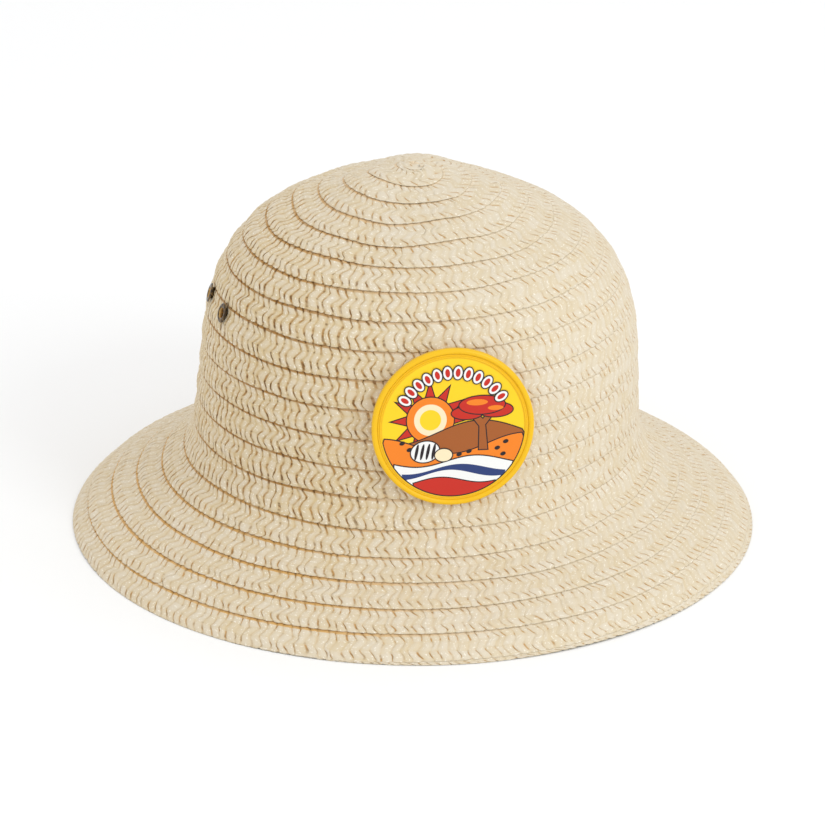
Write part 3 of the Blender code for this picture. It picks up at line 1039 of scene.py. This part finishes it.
def filled(outline, layer, grow=0.0):
    """A filled flat outline, in shares of the print's radius, as a thin closed mesh at its layer."""
    curve = bpy.data.curves.new("cut-out", "CURVE")
    curve.dimensions = "2D"
    curve.fill_mode = "BOTH"
    curve.extrude = INK_THICKNESS / 2
    curve.offset = grow
    spline = curve.splines.new("POLY")
    spline.points.add(len(outline) - 1)
    for point, (x, y) in zip(spline.points, outline):
        point.co = (x * PRINT_RADIUS, y * PRINT_RADIUS, 0.0, 1.0)
    spline.use_cyclic_u = True
    holder = bpy.data.objects.new("cut-out", curve)
    bpy.context.scene.collection.objects.link(holder)
    mesh = bpy.data.meshes.new_from_object(holder.evaluated_get(bpy.context.evaluated_depsgraph_get()))
    bpy.data.objects.remove(holder, do_unlink=True)
    sewn = bmesh.new()
    sewn.from_mesh(mesh)
    bmesh.ops.remove_doubles(sewn, verts=sewn.verts, dist=INK_THICKNESS / 10)
    sewn.to_mesh(mesh)
    sewn.free()
    mesh.transform(Matrix.Translation((0.0, 0.0, FACE_HEIGHT + layer * INK_THICKNESS)))
    return mesh


def oval(x, y, wide, tall, turn=0.0, steps=40):
    """An ellipse in shares of the print's radius, turned by degrees."""
    c, d = math.cos(math.radians(turn)), math.sin(math.radians(turn))
    angles = [2 * math.pi * i / steps for i in range(steps)]
    dots = [(wide * math.cos(angle), tall * math.sin(angle)) for angle in angles]
    return [(x + a * c - b * d, y + a * d + b * c) for a, b in dots]


def beneath(height, swell, waves, shift, steps=60):
    """Everything of the round print under a wavy line."""
    xs = [-1.0 + 2.0 * i / steps for i in range(steps + 1)]
    line = [(x, height + swell * math.sin(waves * x + shift)) for x in xs]
    top = [(x, y) for x, y in line if x * x + y * y < 1.0]
    start = math.degrees(math.atan2(top[-1][1], top[-1][0]))
    end = math.degrees(math.atan2(top[0][1], top[0][0]))
    end -= 360.0 if end > start else 0.0
    return [*top, *arc((0.0, 0.0), 1.0, start, end, steps)[1:-1]]


def ray(x, y, near, far, turn, wide):
    """A pointed sun ray."""
    across = math.radians(wide)
    t = math.radians(turn)
    return [
        (x + near * math.cos(t - across), y + near * math.sin(t - across)),
        (x + far * math.cos(t), y + far * math.sin(t)),
        (x + near * math.cos(t + across), y + near * math.sin(t + across)),
    ]


print("inks:", ", ".join(INKS))


# %% The picture
def savanna():
    """The picture, from the back to the front, as (outline, ink, outlined) rows."""
    sun = (-0.32, 0.12)
    sky = [(ray(*sun, 0.34, 0.54, turn, 10.0), "red", True) for turn in range(0, 360, 30)]
    sky += [
        (oval(*sun, 0.33, 0.33), "orange", True),
        (oval(*sun, 0.23, 0.23), "cream", False),
        (oval(*sun, 0.15, 0.15), "ground", False),
    ]
    hills = [
        (beneath(-0.08, 0.16, 2.6, 0.6), "brown", True),
        (beneath(-0.26, 0.13, 3.1, -1.5), "orange", True),
    ]
    trunk = [(0.36, -0.34), (0.48, -0.34), (0.45, 0.02), (0.62, 0.24), (0.56, 0.28)]
    trunk += [(0.42, 0.10), (0.26, 0.26), (0.21, 0.22), (0.37, 0.0)]
    flat_tree = [
        (trunk, "brown", True),
        (oval(0.20, 0.20, 0.22, 0.09), "red", True),
        (oval(0.60, 0.23, 0.24, 0.10), "red", True),
        (oval(0.41, 0.31, 0.32, 0.13), "red", True),
        (oval(0.34, 0.35, 0.15, 0.045), "orange", False),
        (oval(0.60, 0.26, 0.11, 0.035), "orange", False),
    ]
    tufts = [(0.08, -0.40), (0.22, -0.36), (0.62, -0.33), (0.74, -0.24)]
    tufts += [(0.70, -0.42), (-0.62, -0.30), (-0.72, -0.20)]
    grass = [(oval(x, y, 0.040, 0.028, 20.0), "dark", False) for x, y in tufts]
    river = [
        (beneath(-0.50, 0.07, 4.0, 0.4), "white", True),
        (beneath(-0.60, 0.06, 4.4, 1.2), "navy", False),
        (beneath(-0.68, 0.06, 4.8, 1.9), "white", False),
        (beneath(-0.78, 0.05, 5.2, 2.6), "red", True),
    ]
    stones = [
        (oval(-0.40, -0.34, 0.20, 0.15, 10.0), "white", True),
        (oval(-0.14, -0.40, 0.12, 0.09), "cream", True),
    ]
    for step in (-0.12, -0.04, 0.04, 0.12):
        stones.append((oval(-0.40 + step, -0.34, 0.022, 0.12, -12.0), "dark", False))
    return [*sky, *hills, *flat_tree, *grass, *river, *stones, *bead_arc()]


def bead_arc():
    """A row of beads along the print's upper edge."""
    beads = []
    for bead in range(BEADS):
        turn = 32 + 116 * bead / (BEADS - 1)
        spot = (0.80 * math.cos(math.radians(turn)), 0.80 * math.sin(math.radians(turn)))
        beads.append((oval(*spot, 0.095, 0.062, turn), "white", True))
        beads.append((oval(*spot, 0.062, 0.034, turn), "red", False))
    return beads


def print_mesh(rows):
    """Joins the ground, the shapes and their dark outlines into one mesh with one material for each ink."""
    layers = [(filled(oval(0.0, 0.0, 1.0, 1.0, steps=120), GROUND_LAYER), "ground")]
    for number, (outline, ink, outlined) in enumerate(rows):
        layer = FIRST_LAYER + number
        if outlined:
            layers.append((filled(outline, layer, OUTLINE_WIDTH), "dark"))
        layers.append((filled(outline, layer + COLOUR_OVER_OUTLINE), ink))
    inks = list(INKS)
    joined = bmesh.new()
    for mesh, ink in layers:
        before = len(joined.faces)
        joined.from_mesh(mesh)
        joined.faces.ensure_lookup_table()
        for face in joined.faces[before:]:
            face.material_index = inks.index(ink)
    result = bpy.data.meshes.new("badge_print")
    joined.to_mesh(result)
    joined.free()
    return result


face = print_mesh(savanna())
stood("badge_print", face, BADGE_PLACE, INK_MATERIALS.values(), "badge_face")
print("badge print:", len(face.polygons), "faces")

# %% [markdown]
# ## Floor, light and camera
#
# The hat stands on a wide pale floor, a hair below the brim so that the two don't fight for the same
# place. A broad soft light from the upper right makes the plait's relief show, and the bright surroundings
# fill the shadows, as in a white photo tent. The camera looks down a little through a long lens.

# %% Floor
FLOOR_SIZE = 12.0
FLOOR_DROP = 0.0002
bpy.ops.mesh.primitive_plane_add(size=FLOOR_SIZE, location=(0.0, 0.0, -FLOOR_DROP))
floor = bpy.context.object
floor.name = "floor"
floor_material, _, floor_shader = new_material("pale floor")
floor_shader.inputs["Base Color"].default_value = (0.95, 0.95, 0.95, 1.0)
floor_shader.inputs["Roughness"].default_value = 0.8
floor.data.materials.append(floor_material)
print("floor:", FLOOR_SIZE, "m wide")

# %% Light
KEY_PLACE = (0.75, -1.1, 0.95)
KEY_AIM = (0.0, 0.0, 0.06)
KEY_SIZE = 0.5
KEY_WATTS = 6.0
KEY_COLOUR = (0.90, 0.97, 1.0)
scene = bpy.context.scene
scene.view_settings.view_transform = "Standard"
world = bpy.data.worlds.new("photo tent")
scene.world = world
world.use_nodes = True
world.node_tree.nodes["Background"].inputs["Color"].default_value = (1.0, 1.0, 1.0, 1.0)
world.node_tree.nodes["Background"].inputs["Strength"].default_value = 1.0

lamp = bpy.data.lights.new("key softbox", "AREA")
lamp.size = KEY_SIZE
lamp.energy = KEY_WATTS
lamp.color = KEY_COLOUR
key = bpy.data.objects.new("key softbox", lamp)
key.location = KEY_PLACE
key.rotation_euler = (Vector(KEY_AIM) - Vector(KEY_PLACE)).to_track_quat("-Z", "Y").to_euler()
scene.collection.objects.link(key)
print("key softbox:", KEY_WATTS, "W at", KEY_PLACE)

# %% Camera
CAMERA_AZIMUTH = -7.5
CAMERA_ELEVATION = 22.2
CAMERA_DISTANCE = 1.714
CAMERA_LENS = 193.0
AIM_HEIGHT = 0.042
camera_data = bpy.data.cameras.new("camera")
camera_data.sensor_width = 36.0
camera_data.lens = CAMERA_LENS
camera = bpy.data.objects.new("camera", camera_data)
turn = math.radians(CAMERA_AZIMUTH)
tilt = math.radians(CAMERA_ELEVATION)
away = Vector((math.sin(turn) * math.cos(tilt), -math.cos(turn) * math.cos(tilt), math.sin(tilt)))
camera.location = Vector((0.0, 0.0, AIM_HEIGHT)) + away * CAMERA_DISTANCE
camera.rotation_euler = (-away).to_track_quat("-Z", "Y").to_euler()
scene.collection.objects.link(camera)
scene.camera = camera
print("camera at", tuple(round(c, 3) for c in camera.location))
